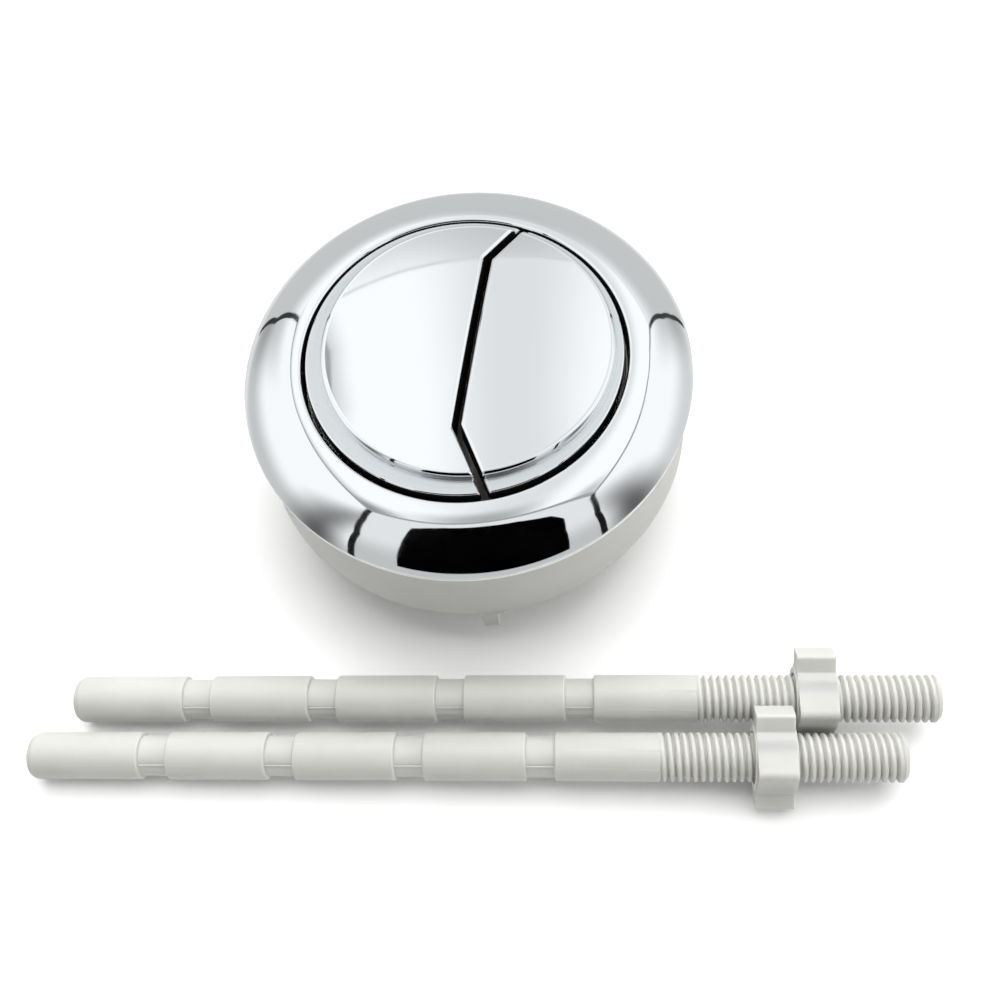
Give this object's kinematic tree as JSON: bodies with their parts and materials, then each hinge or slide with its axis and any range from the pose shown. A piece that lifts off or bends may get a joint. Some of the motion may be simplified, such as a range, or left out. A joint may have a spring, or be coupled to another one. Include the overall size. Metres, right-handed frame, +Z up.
{
  "type": "push button cistern actuator",
  "caption": "Round dual-flush push button: domed chrome bezel, sprung split caps, white lock nut for the cistern lid, and loose snap-off push rods with eared nuts.",
  "frame": {"origin": "on the button's axis, in the plane of the sealing washer's underside, where the lid's top face lies", "axes": "+Z up out of the lid along the button's axis, +X towards the smaller button half, -Y towards the loose rods"},
  "size_m": [0.1507, 0.1101, 0.04],
  "materials": {
    "chrome_plate": "polished",
    "white_plastic": "satin",
    "foam_seal": "matte",
    "spring_steel": "bright"
  },
  "bodies": {
    "base": {"bezel_ring": "chrome_plate", "button_body": "white_plastic", "sealing_washer": "foam_seal", "full_flush_spring": "spring_steel", "half_flush_spring": "spring_steel", "front_push_rod": "white_plastic", "rear_push_rod": "white_plastic"},
    "full_flush": {"full_flush_cap": "chrome_plate", "full_flush_plunger": "white_plastic", "full_flush_clip": "spring_steel"},
    "half_flush": {"half_flush_cap": "chrome_plate", "half_flush_plunger": "white_plastic", "half_flush_clip": "spring_steel"},
    "lock_nut": {"lock_nut": "white_plastic"},
    "front_rod_nut": {"front_rod_nut": "white_plastic"},
    "rear_rod_nut": {"rear_rod_nut": "white_plastic"}
  },
  "joints": [
    {"name": "full_flush_press", "type": "slide", "parent": "base", "child": "full_flush", "axis": [0, 0, -1], "range_m": [0, 0.0055], "stiffness_N_per_m": 400, "springref_m": -0.006, "deforming": ["full_flush_spring"]},
    {"name": "half_flush_press", "type": "slide", "parent": "base", "child": "half_flush", "axis": [0, 0, -1], "range_m": [0, 0.0055], "stiffness_N_per_m": 400, "springref_m": -0.006, "deforming": ["half_flush_spring"]},
    {"name": "lock_nut_travel", "type": "slide", "parent": "base", "child": "lock_nut", "axis": [0, 0, -1], "range_m": [0, 0.0075]},
    {"name": "front_rod_nut_travel", "type": "slide", "parent": "base", "child": "front_rod_nut", "axis": [0.992, 0.1236, 0.0245], "range_m": [-0.015, 0]},
    {"name": "rear_rod_nut_travel", "type": "slide", "parent": "base", "child": "rear_rod_nut", "axis": [0.992, 0.1236, 0.0244], "range_m": [0, 0.015]}
  ]
}
